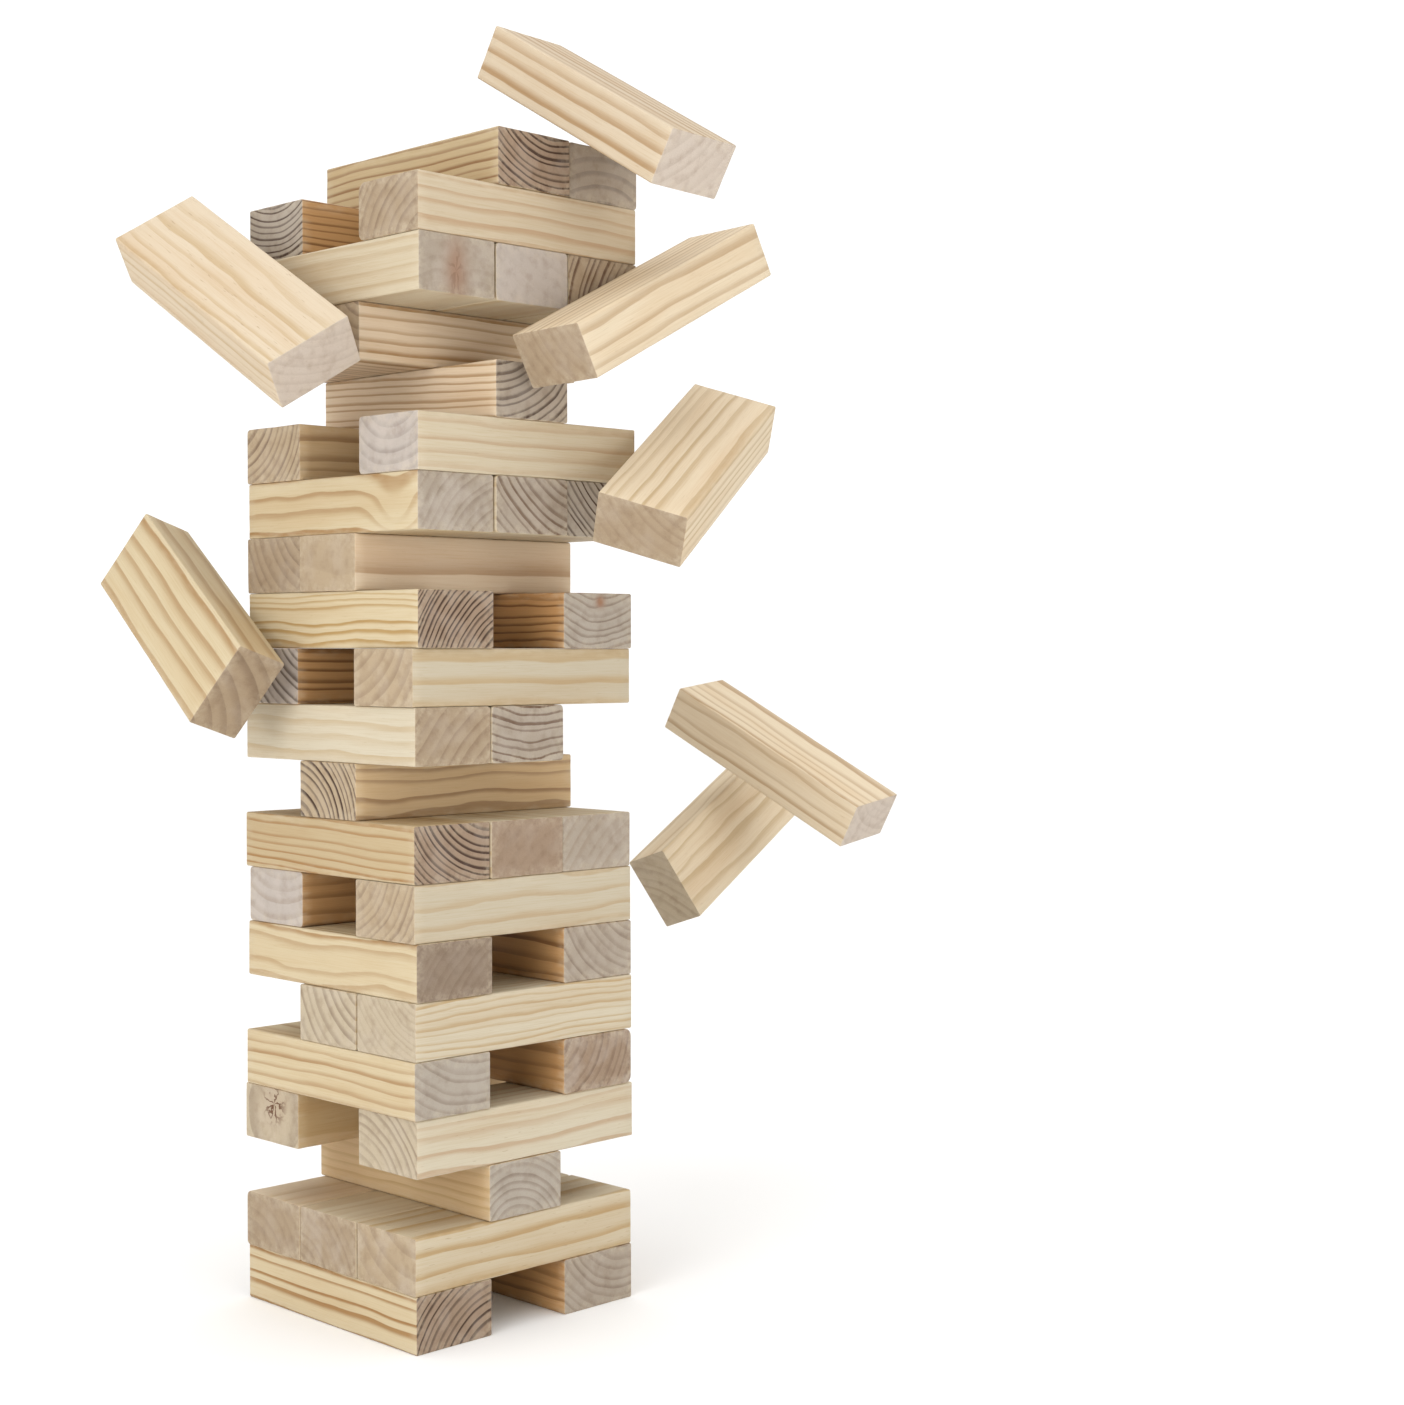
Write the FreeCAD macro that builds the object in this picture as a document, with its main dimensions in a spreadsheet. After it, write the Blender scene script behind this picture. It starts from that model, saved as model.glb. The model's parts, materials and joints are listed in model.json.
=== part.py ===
import FreeCAD, Part
import os
import Sketcher

# A giant tumbling tower of plain pine blocks, part-way through a game.
# The blocks lie three to a level and each level crosses the one below it. Blocks that players have
# pulled out leave open lanes. Seven loose blocks hang in the air around the tower as they fall.
#
# Frame: millimetres, +Z up, origin in the middle of the underside of the near foot block.
# Levels count up from the ground. Odd levels run along Y and stand side by side along X, even
# levels run along X and stand side by side along Y. "near" is the lane at the low end of that row.

SIZES = {
    "block_length": 190.5,
    "block_width": 63.0,
    "block_thickness": 38.0,
    "eased_edge": 1.5,
    "lane_pitch": 63.5,
    "level_pitch": 38.1,
    "tower_middle_x": 63.0,
    "tower_middle_y": -2.5,
}

LANE_STEPS = {"near": -1, "middle": 0, "far": 1}

# The lanes that still hold a block, level by level from the ground up. Each pair says how far the
# block has crept along its own length, and how far sideways.
LEVELS = [
    {"near": (2.5, 0.5), "far": (2.5, 1.0)},
    {"near": (0.0, 2.0), "middle": (-1.0, 2.0), "far": (-1.5, 2.0)},
    {"middle": (1.5, -2.5)},
    {"near": (1.0, 1.5), "far": (-1.0, 3.5)},
    {"near": (0.5, -2.0), "far": (0.5, -1.0)},
    {"near": (-1.0, 0.0), "middle": (-1.5, 0.5)},
    {"near": (0.0, -0.5), "far": (1.0, -0.5)},
    {"near": (-1.5, 0.5), "far": (0.5, -0.5)},
    {"near": (1.0, -1.5), "middle": (0.0, -1.5), "far": (1.0, -1.5)},
    {"middle": (-1.0, 0.0)},
    {"near": (1.0, -0.5), "middle": (0.5, -0.5)},
    {"near": (-2.0, 1.0), "far": (-1.5, 1.0)},
    {"near": (-1.0, 0.5), "far": (0.5, -0.5)},
    {"middle": (-0.5, 0.5), "far": (0.5, 0.5)},
    {"near": (-0.5, 1.0), "middle": (-2.0, 1.5), "far": (0.0, 1.5)},
    {"near": (1.0, -1.5), "far": (0.5, 0.5)},
    {"middle": (-2.0, 1.5)},
    {"middle": (2.0, -1.5), "far": (0.0, 0.0)},
    {"near": (-3.5, 0.0), "middle": (-3.0, 1.0), "far": (-2.5, 1.5)},
    {"near": (0.0, -3.5), "far": (3.5, 0.5)},
    {"middle": (-4.0, 2.0), "far": (-2.0, 2.5)},
]

# The falling blocks: the middle of each, measured from the tower's middle line at the ground, and
# its yaw, pitch and roll in degrees.
FALLING = {
    "falling_top_right": ((50, -115, 820), (-87, 30, -1)),
    "falling_upper_left": ((-140, 40, 690), (-86, 31, 39)),
    "falling_upper_right": ((70, -135, 690), (2, -27, -2)),
    "falling_middle_right": ((115, -130, 580), (23, -28, 19)),
    "falling_lower_left": ((-130, 115, 475), (80, -30, -68)),
    "falling_lower_right_upper": ((370, 20, 365), (-77, 29, 7)),
    "falling_lower_right_lower": ((370, 90, 300), (14, -24, 70)),
}


def write_sizes(doc):
    """Put the driving dimensions in the sheet, one named cell each."""
    sheet = doc.addObject("Spreadsheet::Sheet", "sizes")
    for row, (name, value) in enumerate(SIZES.items(), start=1):
        sheet.set(f"A{row}", name)
        sheet.set(f"B{row}", str(value))
        sheet.setAlias(f"B{row}", name)
    doc.recompute()


def origin_plane(body, role):
    """The body's own origin plane with this role."""
    return next(feature for feature in body.Origin.OriginFeatures if feature.Role == role)


def plan_sketch(body):
    """The block's plan: a rectangle about the middle, as long and as wide as the block."""
    sketch = body.newObject("Sketcher::SketchObject", "plan")
    sketch.AttachmentSupport = [(origin_plane(body, "XY_Plane"), "")]
    sketch.MapMode = "FlatFace"
    half_length = SIZES["block_length"] / 2
    half_width = SIZES["block_width"] / 2
    corners = [
        FreeCAD.Vector(-half_length, -half_width, 0),
        FreeCAD.Vector(half_length, -half_width, 0),
        FreeCAD.Vector(half_length, half_width, 0),
        FreeCAD.Vector(-half_length, half_width, 0),
    ]
    for side, corner in enumerate(corners):
        sketch.addGeometry(Part.LineSegment(corner, corners[(side + 1) % 4]), False)
    for side in range(4):
        sketch.addConstraint(Sketcher.Constraint("Coincident", side, 2, (side + 1) % 4, 1))
        direction = "Horizontal" if side % 2 == 0 else "Vertical"
        sketch.addConstraint(Sketcher.Constraint(direction, side))
    sketch.addConstraint(Sketcher.Constraint("Symmetric", 0, 1, 2, 1, -1, 1))
    length = Sketcher.Constraint("DistanceX", 0, 1, 0, 2, SIZES["block_length"])
    width = Sketcher.Constraint("DistanceY", 1, 1, 1, 2, SIZES["block_width"])
    length_index = sketch.addConstraint(length)
    width_index = sketch.addConstraint(width)
    sketch.setExpression(f"Constraints[{length_index}]", "sizes.block_length")
    sketch.setExpression(f"Constraints[{width_index}]", "sizes.block_width")
    return sketch


def pine_block(doc, name):
    """One loose block about its own middle, long way along X, with its twelve edges eased."""
    body = doc.addObject("PartDesign::Body", name)
    body.Label = name
    pad = body.newObject("PartDesign::Pad", "plank")
    pad.Profile = plan_sketch(body)
    pad.SideType = "Symmetric"
    pad.setExpression("Length", "sizes.block_thickness")
    doc.recompute()
    eased = body.newObject("PartDesign::Chamfer", "eased_edges")
    eased.Base = (pad, [f"Edge{number + 1}" for number in range(len(pad.Shape.Edges))])
    eased.setExpression("Size", "sizes.eased_edge")
    body.Tip = eased
    return body


def place(body, turn, across, along, height):
    """Turn a block, then set its middle at an X, a Y and a Z written as formulas."""
    body.Placement = FreeCAD.Placement(FreeCAD.Vector(0, 0, 0), turn)
    body.setExpression("Placement.Base.x", f"sizes.tower_middle_x + {across}")
    body.setExpression("Placement.Base.y", f"sizes.tower_middle_y + {along}")
    body.setExpression("Placement.Base.z", height)


def build_level(doc, number, lanes):
    """The blocks of one level, each in its lane and crept as far as the table says."""
    blocks = []
    height = f"sizes.level_pitch * {number - 1} + sizes.block_thickness / 2"
    for lane, (creep, sideways) in lanes.items():
        body = pine_block(doc, f"level_{number:02d}_{lane}")
        lane_place = f"(sizes.lane_pitch * {LANE_STEPS[lane]} + {sideways})"
        if number % 2 == 1:
            place(body, FreeCAD.Rotation(90, 0, 0), lane_place, f"({creep})", height)
        else:
            place(body, FreeCAD.Rotation(0, 0, 0), f"({creep})", lane_place, height)
        blocks.append(body)
    return blocks


def build_falling(doc):
    """The seven blocks in the air."""
    blocks = []
    for name, ((across, along, height), (yaw, pitch, roll)) in FALLING.items():
        body = pine_block(doc, name)
        turn = FreeCAD.Rotation(yaw, pitch, roll)
        place(body, turn, f"({across})", f"({along})", f"{height}")
        blocks.append(body)
    return blocks


def check_document(doc, blocks):
    """Stop if any object failed or any block isn't one sound solid."""
    failed = [item.Label for item in doc.Objects if {"Invalid", "Error"} & set(item.State)]
    if failed:
        raise RuntimeError("these objects failed: " + ", ".join(failed))
    for body in blocks:
        shape = body.Shape
        if shape.isNull() or not shape.isValid() or len(shape.Solids) != 1:
            raise RuntimeError(body.Label + " isn't one valid solid")


def write_parts(blocks):
    """One file for each block, named by its label."""
    os.makedirs("parts", exist_ok=True)
    for body in blocks:
        body.Shape.exportStep(f"parts/{body.Label}.step")


def main():
    doc = FreeCAD.newDocument("tumbling_tower")
    write_sizes(doc)
    blocks = []
    for number, lanes in enumerate(LEVELS, start=1):
        blocks += build_level(doc, number, lanes)
    blocks += build_falling(doc)
    doc.recompute()
    check_document(doc, blocks)
    write_parts(blocks)


main()
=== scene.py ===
import json
import math

import bpy
import numpy as np
from mathutils import Matrix, Vector, noise


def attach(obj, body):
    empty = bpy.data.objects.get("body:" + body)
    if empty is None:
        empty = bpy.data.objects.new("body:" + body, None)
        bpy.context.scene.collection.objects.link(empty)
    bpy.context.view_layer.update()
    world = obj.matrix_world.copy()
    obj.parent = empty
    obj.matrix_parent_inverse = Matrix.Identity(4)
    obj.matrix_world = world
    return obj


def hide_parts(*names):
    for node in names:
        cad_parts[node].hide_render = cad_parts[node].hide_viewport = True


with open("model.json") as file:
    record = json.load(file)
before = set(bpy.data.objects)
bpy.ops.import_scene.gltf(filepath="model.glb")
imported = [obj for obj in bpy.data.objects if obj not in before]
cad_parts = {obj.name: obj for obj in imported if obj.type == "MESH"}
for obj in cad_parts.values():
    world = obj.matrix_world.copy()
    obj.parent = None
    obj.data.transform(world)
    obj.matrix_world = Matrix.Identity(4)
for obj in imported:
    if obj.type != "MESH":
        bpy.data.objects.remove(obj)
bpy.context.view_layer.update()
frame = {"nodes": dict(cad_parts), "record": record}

# A giant tumbling tower of planed pine blocks. Each block is sawn from a log in its own way: where
# the pith lay beside it sets the arcs on its ends and the lines on its sides.

MM = 0.001

# ---------------------------------------------------------------- colours of the wood (linear RGB)

WOOD = {
    "pale": (0.575, 0.51, 0.385),
    "cream": (0.56, 0.48, 0.345),
    "straw": (0.585, 0.485, 0.315),
    "biscuit": (0.54, 0.45, 0.32),
    "rose": (0.68, 0.55, 0.40),
    "peach": (0.61, 0.505, 0.37),
    "honey": (0.59, 0.43, 0.245),
    "tawny": (0.49, 0.38, 0.225),
    "dull": (0.51, 0.445, 0.33),
    "blush": (0.71, 0.595, 0.43),
}
# Painted shade of the gaps between blocks: a warm heartwood brown laid on the side of a block that
# faces a gap.
GAP_SHADE_BROWN = (0.50, 0.285, 0.12)
LINE = {
    "faint": (0.44, 0.325, 0.19),
    "gold": (0.42, 0.275, 0.11),
    "amber": (0.34, 0.19, 0.068),
    "brown": (0.22, 0.105, 0.036),
    "rosy": (0.42, 0.27, 0.15),
}
END = {
    "cream": (0.485, 0.405, 0.29),
    "fawn": (0.435, 0.335, 0.22),
    "tan": (0.37, 0.28, 0.185),
    "umber": (0.31, 0.22, 0.15),
    "bark": (0.255, 0.19, 0.135),
    "mauve": (0.365, 0.305, 0.24),
    "ash": (0.39, 0.34, 0.28),
    "chalk": (0.46, 0.405, 0.36),
    "shell": (0.56, 0.48, 0.405),
}
RING = {
    "dark": (0.060, 0.030, 0.018),
    "brown": (0.13, 0.070, 0.038),
    "soft": (0.23, 0.15, 0.09),
    "grey": (0.16, 0.125, 0.105),
}

# ---------------------------------------------------------------- how each block is cut
#
# pith is where the log's centre lies from the middle of the block's near end, to the right and up,
# in millimetres, for someone who looks at that end. ring is the space between growth rings there,
# and with growth above 1 the rings crowd together further out. lines and marks are how strongly
# the rings show on the sides and on the ends, and above 1 the fainter rings come up to the
# darkest. wave is how far the grain wanders, tilt how much it runs across the block, and crisp
# how thin the dark line of a ring is. The side key is 1 or -1 where the right or left side of the
# block faces a gap between blocks; that side gets painted shade of the gap, a warm heartwood
# brown. blotch and flecks are how strong the pale clouds on the ends and the resin specks on the
# sides are. ease has the radii of the four long edges, in millimetres: low right, low left, high
# left and high right.
#
# knot is where a knot lies from the middle of the block: along it, to the left and up. knot_size is
# its reach, and a low knot_tall stretches it upwards. knot_dark is how brown it is, knot_turn how
# far it bends the rings round it and cracks how dark the cracks in it are.

PLAIN_CUT = dict(
    wood="cream", line="gold", end="fawn", mark="soft", pith=(60, -60), ring=7.0, growth=1.0,
    lines=0.5, marks=0.4, wave=1.5, tilt=(0.0, 0.0), crisp=0.5, blotch=0.2, flecks=0.3,
    ease=(1.4, 1.4, 1.4, 1.4), knot=None, knot_size=10.0, knot_tall=1.0, knot_dark=0.0,
    knot_turn=0.0, cracks=0.0, gap_shade_side=0,
)
SOFT_EDGES = (3.0, 3.0, 3.0, 3.0)

CUTS = {
    "level_01_near": dict(wood="straw", line="amber", end="umber", mark="dark", pith=(42, -46),
                          ring=5.4, growth=1.5, lines=1.0, marks=1.1, wave=1.2, crisp=0.8),
    "level_01_far": dict(wood="honey", line="brown", gap_shade_side=-1, end="mauve", mark="brown",
                         pith=(24, 46), ring=6.4, growth=1.3, lines=0.7, marks=0.5, wave=2.5,
                         crisp=0.5),
    "level_02_near": dict(line="gold", end="fawn", pith=(40, 70), ring=13.0, lines=0.75, marks=0.4,
                          crisp=0.2, blotch=0.35, flecks=1.0, wave=3.0),
    "level_02_middle": dict(line="faint", end="tan", pith=(-38, -40), ring=7.0, marks=0.4,
                            blotch=0.4, ease=(2, 2, 3, 2)),
    "level_02_far": dict(wood="peach", end="tan", pith=(-30, -36), ring=9.0, marks=0.35,
                         ease=(2, 3, 4, 2)),
    "level_03_middle": dict(wood="honey", line="gold", end="ash", mark="brown", pith=(-8, -34),
                            ring=5.6, lines=0.5, marks=0.45, wave=2.0),
    "level_04_near": dict(wood="pale", line="rosy", end="cream", mark="brown", pith=(-38, -46),
                          ring=6.6, growth=1.2, lines=0.55, marks=0.5, wave=2.2, crisp=0.6,
                          flecks=0.8),
    "level_04_far": dict(wood="honey", end="cream", mark="brown", pith=(4, 4), ring=17.0,
                         marks=0.5, wave=3.0, knot=(-95, -3, 8), knot_size=19.0, knot_dark=0.15,
                         knot_turn=0.8, cracks=1.0),
    "level_05_near": dict(wood="straw", line="amber", end="ash", mark="brown", pith=(26, 84),
                          ring=6.6, lines=0.7, marks=0.45, wave=2.4),
    "level_05_far": dict(wood="honey", line="brown", gap_shade_side=-1, end="umber", mark="brown",
                         pith=(-52, 30), ring=6.5, growth=1.3, marks=0.6, crisp=0.65, blotch=0.45,
                         ease=(5, 2, 2, 5)),
    "level_06_near": dict(wood="pale", line="gold", end="cream", pith=(46, 60), ring=5.0,
                          lines=0.6, marks=0.3, wave=4.0),
    "level_06_middle": dict(wood="biscuit", end="cream", mark="brown", pith=(50, 46), ring=8.0,
                            marks=0.5),
    "level_07_near": dict(wood="straw", line="amber", end="bark", mark="brown", pith=(86, -74),
                          ring=6.0, lines=0.7, marks=0.3, wave=2.8, crisp=0.3, blotch=0.1),
    "level_07_far": dict(wood="honey", line="brown", gap_shade_side=-1, end="mauve", mark="brown",
                         pith=(46, 54), ring=6.5, lines=0.9, marks=0.5),
    "level_08_near": dict(wood="dull", line="faint", end="fawn", mark="brown", pith=(-54, 46),
                          ring=6.0, lines=0.6, marks=0.45, wave=3.0),
    "level_08_far": dict(wood="honey", line="brown", gap_shade_side=1, end="chalk", mark="soft",
                         pith=(6, 66), ring=9.0, marks=0.35, blotch=0.4, ease=SOFT_EDGES),
    "level_09_near": dict(wood="tawny", line="amber", end="umber", mark="dark", pith=(32, 48),
                          ring=4.4, growth=1.45, lines=1.0, marks=1.4, wave=1.2, crisp=0.7,
                          tilt=(0.0, 0.03)),
    "level_09_middle": dict(end="umber", pith=(60, -70), ring=9.0, marks=0.3, blotch=0.15),
    "level_09_far": dict(end="mauve", pith=(90, -90), ring=8.0, marks=0.35, blotch=0.25),
    "level_10_middle": dict(wood="honey", line="brown", end="fawn", mark="dark", pith=(-42, -34),
                            ring=5.0, growth=1.5, lines=0.7, marks=1.1, wave=1.8, crisp=0.6),
    "level_11_near": dict(wood="pale", line="gold", end="tan", mark="soft", pith=(110, -104),
                          ring=8.0, lines=0.4, marks=0.6, wave=2.4, crisp=0.35, ease=(3, 1, 1, 3)),
    "level_11_middle": dict(end="mauve", mark="brown", pith=(8, 130), ring=5.6, growth=1.8,
                            marks=1.1, wave=2.6, crisp=0.85, ease=SOFT_EDGES),
    "level_12_near": dict(wood="dull", line="gold", end="fawn", mark="soft", pith=(-42, 46),
                          ring=9.0, lines=0.75, marks=0.55, crisp=0.3),
    "level_12_far": dict(wood="honey", line="brown", gap_shade_side=1, end="chalk", mark="grey",
                         pith=(62, 64), ring=6.2, lines=0.9, marks=1.2, crisp=0.45),
    "level_13_near": dict(wood="straw", line="gold", end="umber", mark="dark", pith=(66, -54),
                          ring=3.7, growth=1.5, lines=0.95, marks=1.7, wave=1.8, crisp=0.7),
    "level_13_far": dict(wood="honey", line="brown", gap_shade_side=-1, end="ash", mark="brown",
                         pith=(0, 70), ring=5.4, lines=0.85, marks=0.55, wave=3.6, crisp=0.6,
                         knot=(-95, -2, 13), knot_size=4.0, knot_dark=0.95, knot_turn=0.4),
    "level_14_middle": dict(wood="rose", line="rosy", end="fawn", pith=(20, 150), ring=26.0,
                            lines=0.8, marks=0.2, wave=2.0, crisp=0.0, ease=(2, 2, 2, 2)),
    "level_14_far": dict(end="tan", mark="brown", pith=(52, 42), ring=8.0, marks=0.5, crisp=0.25),
    "level_15_near": dict(wood="straw", line="amber", end="mauve", mark="brown", pith=(60, -60),
                          ring=6.4, lines=0.85, marks=0.4, wave=2.6, knot=(-72, 31, -9),
                          knot_size=22.0, knot_turn=1.5, blotch=0.5, ease=(2, 1, 1, 2)),
    "level_15_middle": dict(end="mauve", mark="brown", pith=(54, 64), ring=6.4, growth=1.3,
                            marks=1.0, crisp=0.75, ease=SOFT_EDGES),
    "level_15_far": dict(end="ash", mark="dark", pith=(54, 66), ring=4.8, marks=1.2, crisp=0.75),
    "level_16_near": dict(wood="cream", line="rosy", end="chalk", mark="grey", pith=(4, 44),
                          ring=8.5, lines=0.5, marks=0.4, blotch=0.6, ease=(1, 3, 3, 1)),
    "level_16_far": dict(wood="honey", line="brown", end="fawn", mark="brown", pith=(-46, 38),
                         ring=6.0, growth=1.5, lines=0.6, marks=0.7, crisp=0.6, ease=(1, 2, 3, 1)),
    "level_17_middle": dict(wood="rose", line="amber", end="mauve", mark="dark", pith=(-34, 62),
                            ring=5.4, lines=0.8, marks=1.0, crisp=0.7, tilt=(0.0, 0.05)),
    "level_18_middle": dict(wood="rose", line="amber", end="fawn", mark="brown", pith=(40, 44),
                            ring=7.4, lines=0.75, marks=0.75, wave=2.0),
    "level_18_far": dict(wood="rose", line="brown", end="fawn", pith=(-50, 40), lines=0.7),
    "level_19_near": dict(wood="cream", line="faint", end="mauve", mark="brown", pith=(10, -90),
                          ring=9.0, lines=0.5, marks=0.15, blotch=0.4, knot=(-95, 1, -4),
                          knot_size=9.0, knot_tall=0.4, knot_dark=0.6, knot_turn=1.0, cracks=0.3),
    "level_19_middle": dict(end="chalk", pith=(50, 90), ring=9.0, marks=0.12, ease=SOFT_EDGES),
    "level_19_far": dict(end="tan", mark="brown", pith=(96, -38), ring=5.4, marks=1.3, crisp=0.6),
    "level_20_near": dict(wood="biscuit", line="rosy", end="tan", mark="brown", pith=(44, -38),
                          ring=7.2, growth=1.3, lines=0.6, marks=0.45, wave=2.0,
                          ease=(1.2, 5, 6, 1.2)),
    "level_20_far": dict(wood="honey", line="brown", gap_shade_side=1, end="ash", mark="dark",
                         pith=(-2, 68), ring=4.3, lines=0.9, marks=1.35, crisp=0.8),
    "level_21_middle": dict(wood="tawny", line="brown", end="umber", mark="dark", pith=(18, 58),
                            ring=4.6, lines=0.9, marks=1.6, wave=1.4, crisp=0.7),
    "level_21_far": dict(end="mauve", mark="grey", pith=(0, -66), ring=10.0, marks=0.6, crisp=0.8,
                         ease=SOFT_EDGES),
    "falling_top_right": dict(wood="peach", line="amber", end="shell", pith=(-70, 60), ring=9.0,
                              lines=0.7, marks=0.2, crisp=0.3),
    "falling_upper_left": dict(wood="peach", line="gold", end="shell", pith=(40, 84), ring=6.4,
                               lines=0.5, marks=0.15, wave=2.2, flecks=0.9),
    "falling_upper_right": dict(wood="blush", line="amber", end="tan", pith=(66, 30), ring=8.0,
                                lines=0.6, marks=0.35),
    "falling_middle_right": dict(wood="blush", line="gold", end="tan", pith=(50, 70), ring=7.2,
                                 lines=0.5, marks=0.35),
    "falling_lower_left": dict(wood="straw", line="amber", end="tan", mark="brown", pith=(-64, 58),
                               ring=11.0, lines=0.75, marks=0.5, crisp=0.2),
    "falling_lower_right_upper": dict(wood="blush", line="amber", end="shell", pith=(40, 74),
                                      ring=7.4, lines=0.55, marks=0.2, wave=2.0),
    "falling_lower_right_lower": dict(wood="blush", line="gold", end="cream", pith=(60, -56),
                                      ring=8.0, lines=0.55, marks=0.35, wave=3.0),
}

# ---------------------------------------------------------------- shape of a block

SIDE_STEPS_WIDE = 8
SIDE_STEPS_THIN = 5
CORNER_STEPS = 4
LENGTH_STEPS = 22
END_STEPS = 3
CAP_STEPS_WIDE = SIDE_STEPS_WIDE + CORNER_STEPS
CAP_STEPS_THIN = SIDE_STEPS_THIN + CORNER_STEPS
END_EASE = 0.7
SHARPEST_EDGE = 0.2
DENT_DEPTH = 0.22
BROAD_ALONG = 0.012
BROAD_ACROSS = 0.03
SMALL_ALONG = 0.11
SMALL_ACROSS = 0.16
FLAT_WEAR = 0.25
EDGE_WEAR = 1.6


def block_axes(node):
    """Middle, half sizes and the length, width and thickness directions of a CAD block."""
    points = np.array([v.co for v in frame["nodes"][node].data.vertices], float)
    middle = (points.min(0) + points.max(0)) / 2
    spread = points - middle
    vectors = np.linalg.eigh(spread.T @ spread)[1]
    thick, length = vectors[:, 0], vectors[:, 2]
    length = length if length[0] + length[1] > 0 else -length
    thick = thick if thick[2] > 0 else -thick
    wide = np.cross(thick, length)
    half = [float(np.abs(spread @ axis).max()) / MM for axis in (length, wide, thick)]
    return middle, half, (length, wide, thick)


def outline(half_wide, half_thick, radii):
    """A rectangle with round corners, as a closed loop that starts at the low corner's middle."""
    arcs = []
    corners = [(-1, -1, 180), (1, -1, 270), (1, 1, 0), (-1, 1, 90)]
    for (wide, thick, start), radius in zip(corners, radii):
        centre = np.array([wide * (half_wide - radius), thick * (half_thick - radius)])
        turns = [math.radians(start + 90 * step / CORNER_STEPS) for step in range(CORNER_STEPS + 1)]
        arcs.append([centre + radius * np.array([math.cos(t), math.sin(t)]) for t in turns])
    loop = []
    for index, arc in enumerate(arcs):
        loop += arc
        steps = SIDE_STEPS_WIDE if index % 2 == 0 else SIDE_STEPS_THIN
        first, last = arc[-1], arcs[(index + 1) % 4][0]
        loop += [first + (last - first) * step / steps for step in range(1, steps)]
    half_corner = CORNER_STEPS // 2
    return np.array(loop[half_corner:] + loop[:half_corner])


def rings_along(half_length):
    """Where the cross-sections stand along the block, and how far each is drawn in."""
    eased = []
    for step in range(END_STEPS, -1, -1):
        angle = math.radians(90 * step / END_STEPS)
        x = -half_length + END_EASE * (1 - math.sin(angle))
        eased.append((x, END_EASE * (1 - math.cos(angle))))
    flat = half_length - END_EASE
    straight = [(-flat + 2 * flat * step / LENGTH_STEPS, 0.0) for step in range(1, LENGTH_STEPS)]
    return eased + straight + [(-x, inset) for x, inset in reversed(eased)]


def cap_grid(loop):
    """Points that fill a closed loop with a grid, blended from its four sides."""
    low = loop[: CAP_STEPS_WIDE + 1]
    right = loop[CAP_STEPS_WIDE : CAP_STEPS_WIDE + CAP_STEPS_THIN + 1]
    high = loop[CAP_STEPS_WIDE + CAP_STEPS_THIN : 2 * CAP_STEPS_WIDE + CAP_STEPS_THIN + 1][::-1]
    left = np.vstack([loop[2 * CAP_STEPS_WIDE + CAP_STEPS_THIN :], loop[:1]])[::-1]
    grid = np.zeros((CAP_STEPS_THIN + 1, CAP_STEPS_WIDE + 1, 2))
    for j in range(CAP_STEPS_THIN + 1):
        for i in range(CAP_STEPS_WIDE + 1):
            s, r = i / CAP_STEPS_WIDE, j / CAP_STEPS_THIN
            edge = (1 - r) * low[i] + r * high[i] + (1 - s) * left[j] + s * right[j]
            corner = (1 - s) * (1 - r) * low[0] + s * (1 - r) * low[-1]
            corner = corner + (1 - s) * r * high[0] + s * r * high[-1]
            grid[j, i] = edge - corner
    return grid


def rim_place(k, count):
    """Row and column, on the end's grid, of the loop's point number k."""
    if k <= CAP_STEPS_WIDE:
        return 0, k
    if k <= CAP_STEPS_WIDE + CAP_STEPS_THIN:
        return k - CAP_STEPS_WIDE, CAP_STEPS_WIDE
    if k <= 2 * CAP_STEPS_WIDE + CAP_STEPS_THIN:
        return CAP_STEPS_THIN, 2 * CAP_STEPS_WIDE + CAP_STEPS_THIN - k
    return count - k, 0


def add_cap(points, faces, first, count, facing_back):
    """Close one end of the block, whose loop starts at the point number first, with a grid."""
    grid = cap_grid(np.array([points[first + k][1:] for k in range(count)]))
    x = points[first][0]
    index = np.full((CAP_STEPS_THIN + 1, CAP_STEPS_WIDE + 1), -1)
    for k in range(count):
        index[rim_place(k, count)] = first + k
    for j in range(1, CAP_STEPS_THIN):
        for i in range(1, CAP_STEPS_WIDE):
            index[j, i] = len(points)
            points.append((x, grid[j, i, 0], grid[j, i, 1]))
    for j in range(CAP_STEPS_THIN):
        for i in range(CAP_STEPS_WIDE):
            quad = [index[j, i], index[j, i + 1], index[j + 1, i + 1], index[j + 1, i]]
            faces.append(tuple(int(v) for v in (quad[::-1] if facing_back else quad)))


def block_mesh(name, half, cut, seed):
    """A planed block with round edges, small dents and the grain's coordinates on its points."""
    half_length, half_wide, half_thick = half
    places = rings_along(half_length)
    count = 2 * CAP_STEPS_WIDE + 2 * CAP_STEPS_THIN
    points, faces = [], []
    for x, inset in places:
        radii = [max(radius - inset, SHARPEST_EDGE) for radius in cut["ease"]]
        for y, z in outline(half_wide - inset, half_thick - inset, radii):
            points.append((x, y, z))
    for ring in range(len(places) - 1):
        for k in range(count):
            a, b = ring * count + k, ring * count + (k + 1) % count
            faces.append((a, b, b + count, a + count))
    add_cap(points, faces, 0, count, facing_back=True)
    add_cap(points, faces, (len(places) - 1) * count, count, facing_back=False)
    mesh = bpy.data.meshes.new(name)
    mesh.from_pydata([Vector(p) * MM for p in points], [], faces)
    mesh.validate()
    mesh.update()
    shape_marks(mesh, np.array(points), half, cut, seed)
    return mesh


def hollow(point, along, across, offset):
    """How deep a dent is at a point, for noise of a given fineness along and across the block."""
    scaled = Vector((point[0] * along, point[1] * across, point[2] * across))
    return max(0.0, noise.noise(scaled + offset))


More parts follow.
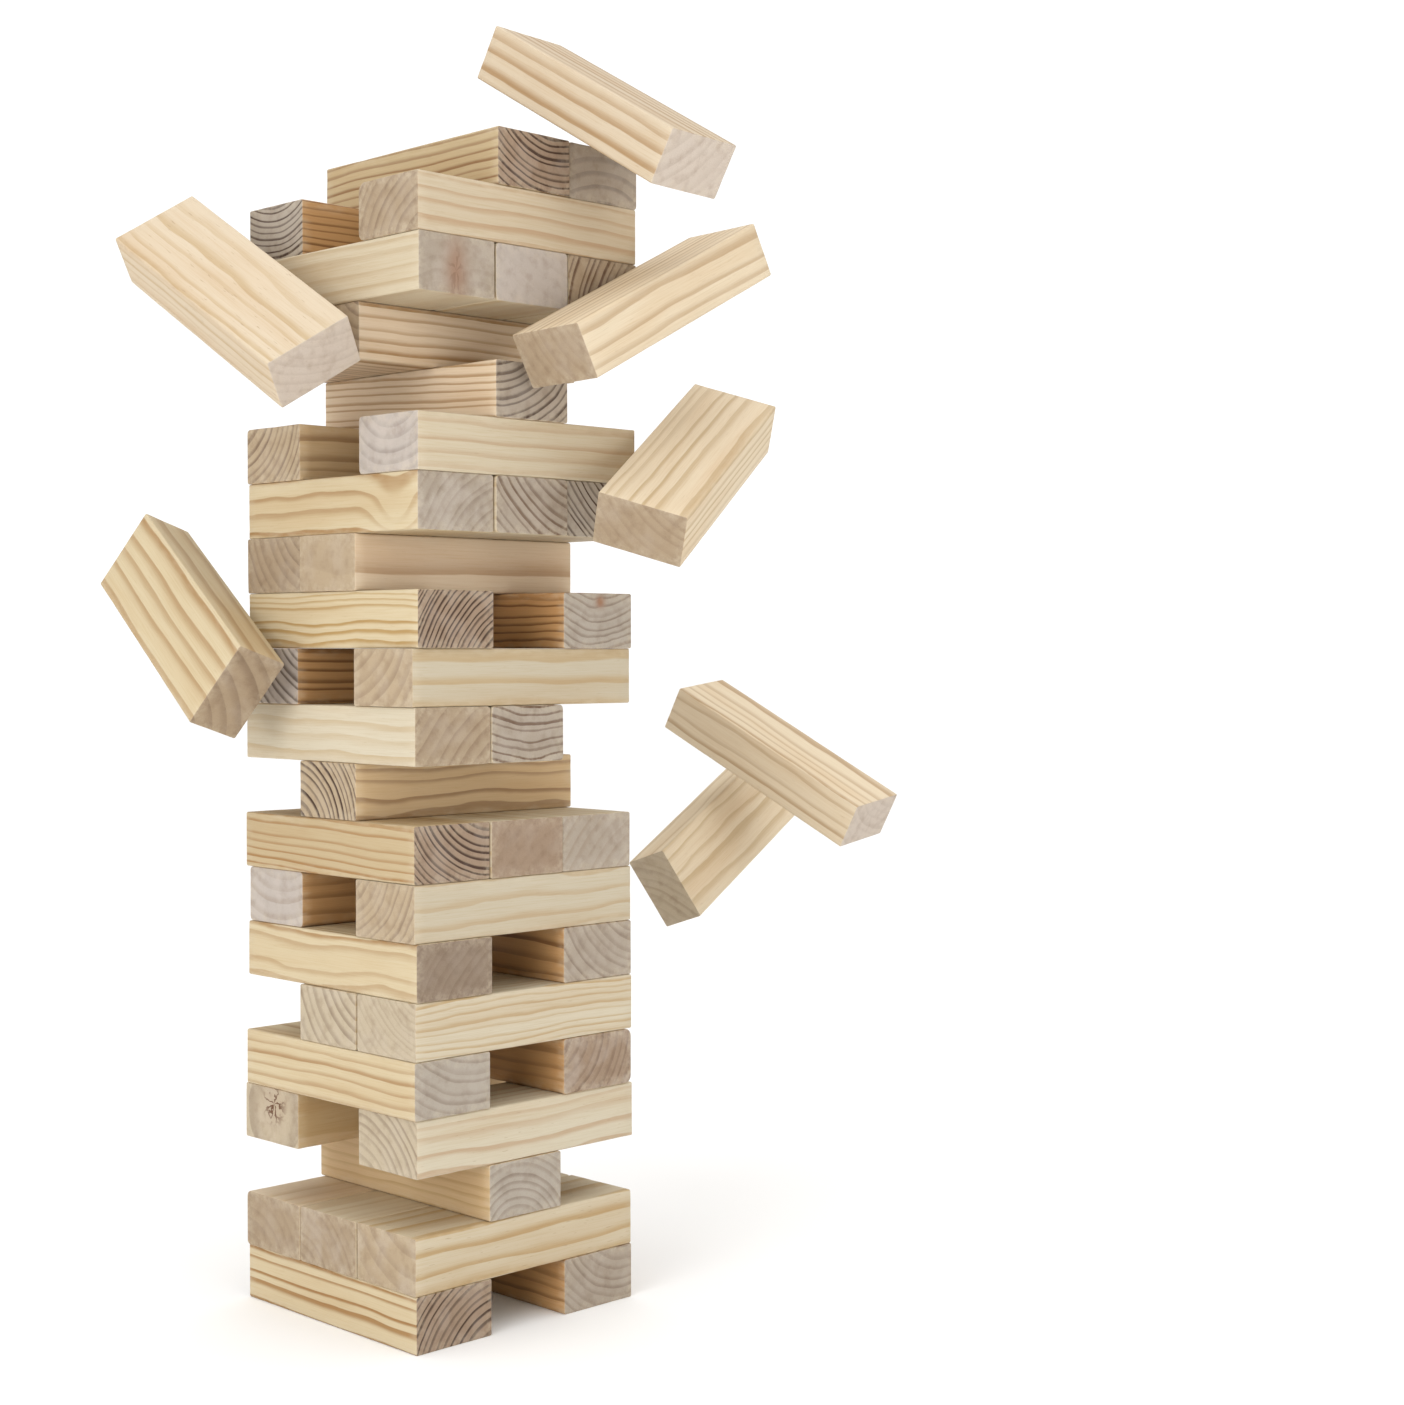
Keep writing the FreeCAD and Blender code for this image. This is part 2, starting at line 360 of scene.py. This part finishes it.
def shape_marks(mesh, points, half, cut, seed):
    """Dent the surface a little, always inwards, and store what the wood's material reads."""
    normals = np.array([v.normal for v in mesh.vertices], float)
    offset = Vector((seed * 7.3, seed * 3.1, seed * 5.7))
    dents = np.zeros(len(points))
    for k, point in enumerate(points):
        broad = hollow(point, BROAD_ALONG, BROAD_ACROSS, offset)
        small = hollow(point, SMALL_ALONG, SMALL_ACROSS, offset)
        dents[k] = 0.45 * broad + 0.55 * small
    edge = edge_share(points, half, max(cut["ease"]))
    depth = DENT_DEPTH * dents * (FLAT_WEAR + EDGE_WEAR * edge)
    moved = points - normals * depth[:, None]
    mesh.vertices.foreach_set("co", (moved * MM).astype(np.float32).ravel())
    pith = np.array([-cut["pith"][0], cut["pith"][1]], float)
    across = points[:, 1:] - pith - points[:, :1] * np.array(cut["tilt"])
    grain = np.column_stack([points[:, 0] + seed * 211.0, across])
    store(mesh, "grain", "FLOAT_VECTOR", "vector", grain)
    store(mesh, "place", "FLOAT_VECTOR", "vector", points)
    facing = np.clip((np.abs(normals[:, 0]) - 0.45) / 0.3, 0, 1)
    store(mesh, "end_face", "FLOAT", "value", facing)
    # Where the edges are painted pale in the material: wear, and a painted highlight.
    store(mesh, "worn_and_highlit_edge", "FLOAT", "value", edge)
    mesh.update()
    for polygon in mesh.polygons:
        polygon.use_smooth = True


def edge_share(points, half, ease):
    """1 on a rounded edge, falling to 0 a few millimetres away on the flat faces."""
    gaps = np.sort(np.array(half) - np.abs(points), axis=1)
    return np.clip(1 - (gaps[:, 1] - 0.3 * ease) / (ease + 2.0), 0, 1)


def store(mesh, name, kind, field, values):
    attribute = mesh.attributes.new(name, kind, "POINT")
    attribute.data.foreach_set(field, np.asarray(values, np.float32).ravel())


# ---------------------------------------------------------------- the pine material

LATEWOOD_GAIN = 1.25
LATEWOOD_POWER = 1.5
# How far from the block's middle the painted gap shade fades in, in millimetres.
GAP_SHADE_FROM_MIDDLE = 30.0
BROAD_STREAK = (0.93, 0.87, 0.80)
FINE_FIBRE = (0.93, 0.89, 0.83)
RESIN = (0.30, 0.19, 0.10)
END_CLOUD = (0.60, 0.54, 0.48)
END_SHADE = (0.86, 0.83, 0.81)
PORE = (0.84, 0.80, 0.77)
KNOT = (0.27, 0.12, 0.06)
CRACK = (0.13, 0.06, 0.03)
# Pale colour on the edges: rubbed wear, and a painted highlight along the eased edges.
RUBBED_EDGE_AND_HIGHLIGHT = (0.62, 0.53, 0.39)
BUMP_HEIGHT = 0.12 * MM
CLOSEST_PITH = 12.0
FAINTEST_RING = 0.45
SPECULAR = 0.35


class Graph:
    """A short way to write shader nodes: inputs are sockets or plain values, None leaves one out."""

    def __init__(self, tree):
        self.tree = tree

    def node(self, kind, inputs=(), **settings):
        made = self.tree.nodes.new(kind)
        for name, value in settings.items():
            setattr(made, name, value)
        for key, value in dict(inputs).items():
            if isinstance(value, bpy.types.NodeSocket):
                self.tree.links.new(value, made.inputs[key])
            elif value is not None:
                made.inputs[key].default_value = value
        return made

    def attribute(self, name, output="Vector"):
        return self.node("ShaderNodeAttribute", attribute_name=name).outputs[output]

    def math(self, operation, a, b=None, c=None):
        return self.node("ShaderNodeMath", {0: a, 1: b, 2: c}, operation=operation).outputs[0]

    def vector(self, operation, a, b):
        made = self.node("ShaderNodeVectorMath", {0: a, 1: b}, operation=operation)
        return made.outputs["Value" if operation == "LENGTH" else "Vector"]

    def smooth(self, value, low, high):
        inputs = {"Value": value, "From Min": low, "From Max": high}
        made = self.node("ShaderNodeMapRange", inputs, interpolation_type="SMOOTHSTEP")
        return made.outputs["Result"]

    def noise(self, place, detail=2.0, dimensions="3D", roughness=0.5):
        key = "W" if dimensions == "1D" else "Vector"
        inputs = {key: place, "Scale": 1.0, "Detail": detail, "Roughness": roughness}
        made = self.node("ShaderNodeTexNoise", inputs, noise_dimensions=dimensions)
        return made.outputs["Fac"]

    def mix(self, share, a, b, blend="MIX"):
        made = self.tree.nodes.new("ShaderNodeMix")
        made.data_type = "RGBA"
        made.blend_type = blend
        for socket, value in ((0, share), (6, a), (7, b)):
            if isinstance(value, bpy.types.NodeSocket):
                self.tree.links.new(value, made.inputs[socket])
            else:
                made.inputs[socket].default_value = value
        return made.outputs[2]

    def scaled(self, place, along, across):
        return self.vector("MULTIPLY", place, (along, across, across))


def colour(rgb):
    return (*rgb, 1.0)


def growth_rings(g, grain, cut, reach):
    """The number of the ring at a point, counted from the pith, with the time of year after it."""
    wander = g.math("SUBTRACT", g.noise(g.scaled(grain, 0.011, 0.022), 1.5), 0.5)
    ripple = g.math("SUBTRACT", g.noise(g.scaled(grain, 0.035, 0.09), 2.0), 0.5)
    split = g.node("ShaderNodeSeparateXYZ", {0: grain})
    square = g.math("MULTIPLY", split.outputs["Y"], split.outputs["Y"])
    square = g.math("MULTIPLY_ADD", split.outputs["Z"], split.outputs["Z"], square)
    radius = g.math("SQRT", square)
    radius = g.math("MULTIPLY_ADD", wander, cut["wave"] * 3.2, radius)
    radius = g.math("MULTIPLY_ADD", ripple, cut["wave"] * 0.5, radius)
    share = g.math("MAXIMUM", g.math("DIVIDE", radius, reach), 0.001)
    turns = g.math("POWER", share, cut["growth"])
    turns = g.math("MULTIPLY", turns, reach / cut["ring"] / cut["growth"])
    uneven = g.math("SUBTRACT", g.noise(g.math("MULTIPLY", turns, 0.6), 1.0, "1D"), 0.5)
    return g.math("MULTIPLY_ADD", uneven, 0.9, turns)


def knot_field(g, place, cut):
    """How near a point is to the block's knot, 1 at its heart, and how deep in one of its cracks."""
    away = g.vector("SUBTRACT", place, cut["knot"])
    away = g.vector("MULTIPLY", away, (1.0, 1.0, cut["knot_tall"]))
    distance = g.math("DIVIDE", g.vector("LENGTH", away, None), cut["knot_size"])
    near = g.math("EXPONENT", g.math("MULTIPLY", g.math("MULTIPLY", distance, distance), -1.0))
    split = g.node("ShaderNodeSeparateXYZ", {0: away})
    angle = g.math("ARCTAN2", split.outputs["Z"], split.outputs["Y"])
    bend = g.noise(g.vector("MULTIPLY", away, (0.16, 0.16, 0.16)), 2.0)
    star = g.math("SINE", g.math("MULTIPLY_ADD", angle, 2.5, g.math("MULTIPLY", bend, 7.0)))
    crack = g.smooth(g.math("ABSOLUTE", star), 0.84, 0.98)
    fade = g.smooth(distance, 0.95, 0.25)
    return near, g.math("MULTIPLY", crack, fade)


def side_colour(g, grain, place, late, strength, cut):
    """Cream wood with darker latewood lines, fine fibres and a few resin flecks, and painted gap
    shade on the side that faces a gap.
    """
    base_colour = colour(WOOD[cut["wood"]])
    # Painted shade: the half of the block towards the gap is tinted the gap's warm brown, with the
    # look of heartwood.
    if cut["gap_shade_side"]:
        left = g.node("ShaderNodeSeparateXYZ", {0: place}).outputs["Y"]
        gap_shade_side = g.smooth(g.math("MULTIPLY", left, -cut["gap_shade_side"]), 0.0, GAP_SHADE_FROM_MIDDLE)
        base_colour = g.mix(gap_shade_side, base_colour, colour(GAP_SHADE_BROWN))
    strength = g.math("MULTIPLY", strength, LATEWOOD_GAIN * cut["lines"])
    body = g.mix(g.math("MULTIPLY", late, strength), base_colour, colour(LINE[cut["line"]]))
    tint = g.noise(g.scaled(grain, 0.006, 0.05), 2.0)
    body = g.mix(g.smooth(tint, 0.42, 0.80), body, colour(BROAD_STREAK), "MULTIPLY")
    fibre = g.noise(g.scaled(grain, 0.03, 1.7), 3.0, roughness=0.65)
    body = g.mix(g.smooth(fibre, 0.40, 0.75), body, colour(FINE_FIBRE), "MULTIPLY")
    fleck = g.smooth(g.noise(g.scaled(grain, 0.10, 1.15), 1.0), 0.70, 0.76)
    fleck = g.math("MULTIPLY", fleck, 0.5 * cut["flecks"])
    return g.mix(fleck, body, colour(RESIN)), fibre


def end_colour(g, grain, place, late, strength, cut):
    """Darker, greyer end grain with thin ring lines, pores and pale blotches."""
    body = g.mix(g.math("MULTIPLY", late, g.math("MULTIPLY", strength, cut["marks"])),
                 colour(END[cut["end"]]), colour(RING[cut["mark"]]))
    cloud = g.smooth(g.noise(g.scaled(grain, 0.02, 0.055), 3.0), 0.42, 0.68)
    body = g.mix(g.math("MULTIPLY", cloud, 0.55 * cut["blotch"]), body, colour(END_CLOUD))
    shade = g.smooth(g.noise(g.scaled(grain, 0.05, 0.12), 3.0), 0.45, 0.75)
    body = g.mix(shade, body, colour(END_SHADE), "MULTIPLY")
    pores = g.noise(g.vector("MULTIPLY", place, (0.8, 1.9, 1.9)), 3.0, roughness=0.7)
    body = g.mix(g.smooth(pores, 0.45, 0.78), body, colour(PORE), "MULTIPLY")
    return body, pores


def latewood(g, grain, near, cut, seed):
    """How dark the time of year is on the sides and on the ends, and how strong the ring is."""
    reach = max(math.hypot(*cut["pith"]), CLOSEST_PITH)
    turns = growth_rings(g, grain, cut, reach)
    if cut["knot"]:
        turns = g.math("MULTIPLY_ADD", near, cut["knot_turn"], turns)
    season = g.math("FRACT", turns)
    number = g.math("ADD", g.math("FLOOR", turns), seed * 17.0)
    year = g.node("ShaderNodeTexWhiteNoise", {"W": number}, noise_dimensions="1D").outputs["Value"]
    strength = g.math("MULTIPLY_ADD", year, 1.0 - FAINTEST_RING, FAINTEST_RING)
    if cut["knot"]:
        strength = g.math("MULTIPLY", strength, g.math("MULTIPLY_ADD", near, -0.9, 1.0))
    crisp = cut["crisp"]
    winter = g.smooth(season, 1.0, 0.93)
    side = g.smooth(season, 0.20 + 0.35 * crisp, 0.90 - 0.12 * crisp)
    side = g.math("POWER", g.math("MULTIPLY", side, winter), LATEWOOD_POWER)
    end = g.smooth(season, 0.20 + 0.40 * crisp, 0.92 - 0.20 * crisp)
    return side, g.math("MULTIPLY", end, winter), strength


def rubbed_and_highlit(g, surface, place, worn_and_highlit):
    """The surface with its edges rubbed pale in places: wear, and a painted highlight along the
    eased edges.
    """
    scuff = g.smooth(g.noise(g.vector("MULTIPLY", place, (0.09, 0.3, 0.3)), 3.0), 0.35, 0.75)
    rub_and_highlight = g.math("MULTIPLY", g.math("MULTIPLY", worn_and_highlit, scuff), 0.35)
    return g.mix(rub_and_highlight, surface, colour(RUBBED_EDGE_AND_HIGHLIGHT))


def roughness(g, late, fibre, end_face):
    """Latewood lines shine a little more than the rest, and end grain less."""
    rough = g.math("MULTIPLY_ADD", late, -0.12, 0.60)
    rough = g.math("MULTIPLY_ADD", fibre, 0.12, rough)
    return g.math("MULTIPLY_ADD", end_face, 0.18, rough)


def relief(g, late_side, late_end, fibre, pores, end_face):
    """Height of the fine relief: latewood lines stand up, with fibres on the sides and pores on
    the ends."""
    side = g.math("MULTIPLY_ADD", late_side, 0.6, g.math("MULTIPLY", fibre, 0.8))
    end = g.math("MULTIPLY_ADD", late_end, 0.5, g.math("MULTIPLY", pores, 1.4))
    side = g.math("MULTIPLY", side, g.math("SUBTRACT", 1.0, end_face))
    return g.math("ADD", side, g.math("MULTIPLY", end, end_face))


def pine(name, cut, seed):
    """The material of one block."""
    material = bpy.data.materials.new(name)
    material.use_nodes = True
    tree = material.node_tree
    g = Graph(tree)
    grain = g.attribute("grain")
    place = g.attribute("place")
    end_face = g.attribute("end_face", "Fac")
    near, crack = knot_field(g, place, cut) if cut["knot"] else (None, None)
    late_side, late_end, strength = latewood(g, grain, near, cut, seed)
    sides, fibre = side_colour(g, grain, place, late_side, strength, cut)
    ends, pores = end_colour(g, grain, place, late_end, strength, cut)
    surface = g.mix(end_face, sides, ends)
    if cut["knot"]:
        surface = g.mix(g.math("MULTIPLY", near, cut["knot_dark"]), surface, colour(KNOT))
        surface = g.mix(g.math("MULTIPLY", crack, cut["cracks"]), surface, colour(CRACK))
    # Edges made paler: rubbed wear, and a painted highlight along the eased edges.
    surface = rubbed_and_highlit(g, surface, place, g.attribute("worn_and_highlit_edge", "Fac"))
    height = relief(g, late_side, late_end, fibre, pores, end_face)
    bump = g.node("ShaderNodeBump", {"Height": height, "Strength": 0.35, "Distance": BUMP_HEIGHT})
    shader = tree.nodes["Principled BSDF"]
    shader.inputs["Specular IOR Level"].default_value = SPECULAR
    tree.links.new(surface, shader.inputs["Base Color"])
    tree.links.new(roughness(g, late_side, fibre, end_face), shader.inputs["Roughness"])
    tree.links.new(bump.outputs["Normal"], shader.inputs["Normal"])
    return material


# ---------------------------------------------------------------- the blocks


def build_block(node, body, seed):
    """One pine block in place of its CAD block, riding on the same body."""
    cut = {**PLAIN_CUT, **CUTS.get(node, {})}
    middle, half, axes = block_axes(node)
    mesh = block_mesh(node + "_pine", half, cut, seed)
    piece = bpy.data.objects.new(node + "_pine", mesh)
    bpy.context.scene.collection.objects.link(piece)
    turn = Matrix([list(row) for row in np.column_stack(axes)]).to_4x4()
    piece.matrix_world = Matrix.Translation(Vector(middle)) @ turn
    mesh.materials.append(pine(node + "_pine", cut, seed))
    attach(piece, body)
    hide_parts(node)


bodies = sorted(frame["record"]["behaviour"]["bodies"].items())
for seed, (body, nodes) in enumerate(bodies, start=1):
    for node in nodes:
        build_block(node, body, seed)

# ---------------------------------------------------------------- floor, light and camera

TOWER_MIDDLE = Vector((0.063, -0.0025, 0.0))
CAMERA_FROM_TOWER = Vector((-0.9817, -1.2365, 0.4565))
CAMERA_YAW = 44.89
CAMERA_PITCH = -1.36
CAMERA_LENS = 57.4
BACKDROP = (1.1, 1.1, 1.1)
GLOW = (0.35, 0.345, 0.335)
LIGHTS_AIM = TOWER_MIDDLE + Vector((0, 0, 0.45))
LEFT_BOX = dict(offset=Vector((-3.0, -0.9, 0.6)), size=2.2, power=48)
RIGHT_BOX = dict(offset=Vector((0.3, -3.0, 0.2)), size=1.8, power=21)
OVERHEAD_POWER = 2.5
OVERHEAD_SPREAD = 100


def plain_material(name, rgb, roughness):
    material = bpy.data.materials.new(name)
    material.use_nodes = True
    shader = material.node_tree.nodes["Principled BSDF"]
    shader.inputs["Base Color"].default_value = colour(rgb)
    shader.inputs["Roughness"].default_value = roughness
    shader.inputs["Specular IOR Level"].default_value = 0.1
    return material


def pale_floor(half_width=30.0):
    mesh = bpy.data.meshes.new("floor")
    corners = [(-1, -1, 0), (1, -1, 0), (1, 1, 0), (-1, 1, 0)]
    mesh.from_pydata([Vector(c) * half_width for c in corners], [], [(0, 1, 2, 3)])
    mesh.materials.append(plain_material("pale_floor", (0.94, 0.94, 0.94), 0.9))
    floor = bpy.data.objects.new("floor", mesh)
    bpy.context.scene.collection.objects.link(floor)


def soft_light(name, offset, size, power):
    """A round soft box that stands at offset from the middle of the tower and faces it."""
    data = bpy.data.lights.new(name, "AREA")
    data.shape = "DISK"
    data.size = size
    data.energy = power
    light = bpy.data.objects.new(name, data)
    bpy.context.scene.collection.objects.link(light)
    light.location = LIGHTS_AIM + offset
    light.rotation_mode = "QUATERNION"
    light.rotation_quaternion = offset.to_track_quat("Z", "Y")


def studio():
    """A white backdrop all round, a soft box for each side in view, and a wide light above."""
    world = bpy.data.worlds.new("studio")
    world.use_nodes = True
    g = Graph(world.node_tree)
    seen = g.node("ShaderNodeLightPath").outputs["Is Camera Ray"]
    background = world.node_tree.nodes["Background"]
    light = g.mix(seen, colour(GLOW), colour(BACKDROP))
    world.node_tree.links.new(light, background.inputs["Color"])
    bpy.context.scene.world = world
    soft_light("left_box", **LEFT_BOX)
    soft_light("right_box", **RIGHT_BOX)
    sun = bpy.data.lights.new("overhead", "SUN")
    sun.energy = OVERHEAD_POWER
    sun.angle = math.radians(OVERHEAD_SPREAD)
    overhead = bpy.data.objects.new("overhead", sun)
    bpy.context.scene.collection.objects.link(overhead)
    view = bpy.context.scene.view_settings
    view.view_transform = "Standard"
    view.look = "None"
    view.exposure = 0.0


def photo_camera():
    data = bpy.data.cameras.new("camera")
    data.lens = CAMERA_LENS
    data.sensor_width = 36.0
    data.clip_end = 200.0
    camera = bpy.data.objects.new("camera", data)
    bpy.context.scene.collection.objects.link(camera)
    camera.location = TOWER_MIDDLE + CAMERA_FROM_TOWER
    yaw, pitch = math.radians(CAMERA_YAW), math.radians(CAMERA_PITCH)
    level = math.cos(pitch)
    forward = Vector((math.cos(yaw) * level, math.sin(yaw) * level, math.sin(pitch)))
    camera.rotation_mode = "QUATERNION"
    camera.rotation_quaternion = (-forward).to_track_quat("Z", "Y")
    bpy.context.scene.camera = camera


pale_floor()
studio()
photo_camera()
